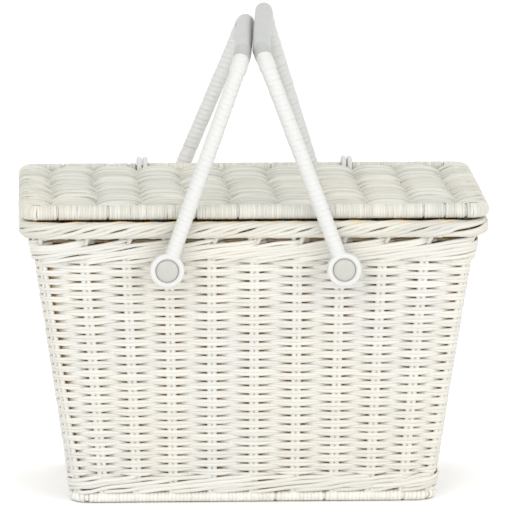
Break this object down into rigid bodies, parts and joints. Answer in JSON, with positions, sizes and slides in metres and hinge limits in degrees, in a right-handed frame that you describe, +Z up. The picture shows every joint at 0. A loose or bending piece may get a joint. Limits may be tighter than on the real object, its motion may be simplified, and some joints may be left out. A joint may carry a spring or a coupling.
{
  "type": "wicker picnic basket",
  "caption": "Rectangular white wicker picnic basket with flared woven walls, a rolled border, a rear-hinged woven lid and a pair of wrapped swing handles that fold down outside.",
  "frame": {"origin": "on the ground under the middle of the basket's foot", "axes": "+Z up, +X to the basket's right, -Y the front with the lid's opening edge, +Y the hinge side"},
  "size_m": [0.4098, 0.3, 0.4169],
  "materials": {
    "painted_cane": "white brush paint worn into the weave, tan in the crevices",
    "lid_cane": "white paint greyed with use over fine cane",
    "strip_wrap": "satin white wrapping strip",
    "grip_plastic": "smooth grey-white sleeve",
    "button_plastic": "smooth cream-grey dome",
    "zinc_steel": "zinc-plated steel"
  },
  "bodies": {
    "basket": {"base_panel": "painted_cane", "base_border": "painted_cane", "lower_wale": "painted_cane", "upper_wale": "painted_cane", "top_border": "painted_cane", "front_weave": "painted_cane", "front_stakes": "painted_cane", "right_weave": "painted_cane", "right_stakes": "painted_cane", "back_weave": "painted_cane", "back_stakes": "painted_cane", "left_weave": "painted_cane", "left_stakes": "painted_cane", "front_left_corner_post": "painted_cane", "left_front_pivot_bolt": "button_plastic", "left_front_pivot_spacer": "strip_wrap", "left_front_pivot_washer": "zinc_steel", "left_front_pivot_nut": "zinc_steel", "front_right_corner_post": "painted_cane", "right_front_pivot_bolt": "button_plastic", "right_front_pivot_spacer": "strip_wrap", "right_front_pivot_washer": "zinc_steel", "right_front_pivot_nut": "zinc_steel", "back_left_corner_post": "painted_cane", "left_back_pivot_bolt": "button_plastic", "left_back_pivot_spacer": "strip_wrap", "left_back_pivot_washer": "zinc_steel", "left_back_pivot_nut": "zinc_steel", "back_right_corner_post": "painted_cane", "right_back_pivot_bolt": "button_plastic", "right_back_pivot_spacer": "strip_wrap", "right_back_pivot_washer": "zinc_steel", "right_back_pivot_nut": "zinc_steel", "left_hinge_loop": "strip_wrap", "right_hinge_loop": "strip_wrap"},
    "lid": {"lid_frame": "lid_cane", "lid_binding": "painted_cane", "lid_weave": "lid_cane", "lid_rib_1": "lid_cane", "lid_rib_2": "lid_cane", "lid_rib_3": "lid_cane", "lid_rib_4": "lid_cane", "lid_rib_5": "lid_cane", "lid_rib_6": "lid_cane", "lid_rib_7": "lid_cane", "lid_rib_8": "lid_cane", "lid_rib_9": "lid_cane"},
    "left_handle": {"left_handle_core": "painted_cane", "left_handle_grip": "grip_plastic", "left_handle_front_wrap": "strip_wrap", "left_handle_front_eye": "strip_wrap", "left_handle_back_wrap": "strip_wrap", "left_handle_back_eye": "strip_wrap"},
    "right_handle": {"right_handle_core": "painted_cane", "right_handle_grip": "grip_plastic", "right_handle_front_wrap": "strip_wrap", "right_handle_front_eye": "strip_wrap", "right_handle_back_wrap": "strip_wrap", "right_handle_back_eye": "strip_wrap"}
  },
  "joints": [
    {"name": "lid_hinge", "type": "hinge", "parent": "basket", "child": "lid", "pos_m": [0, 0.12245, 0.2637], "axis": [-1, 0, 0], "range_deg": [0, 29]},
    {"name": "left_handle_swing", "type": "hinge", "parent": "basket", "child": "left_handle", "pos_m": [-0.07664, 0, 0.216], "axis": [0, -1, 0], "range_deg": [0, 167]},
    {"name": "right_handle_swing", "type": "hinge", "parent": "basket", "child": "right_handle", "pos_m": [0.07664, 0, 0.216], "axis": [0, 1, 0], "range_deg": [0, 166]}
  ]
}
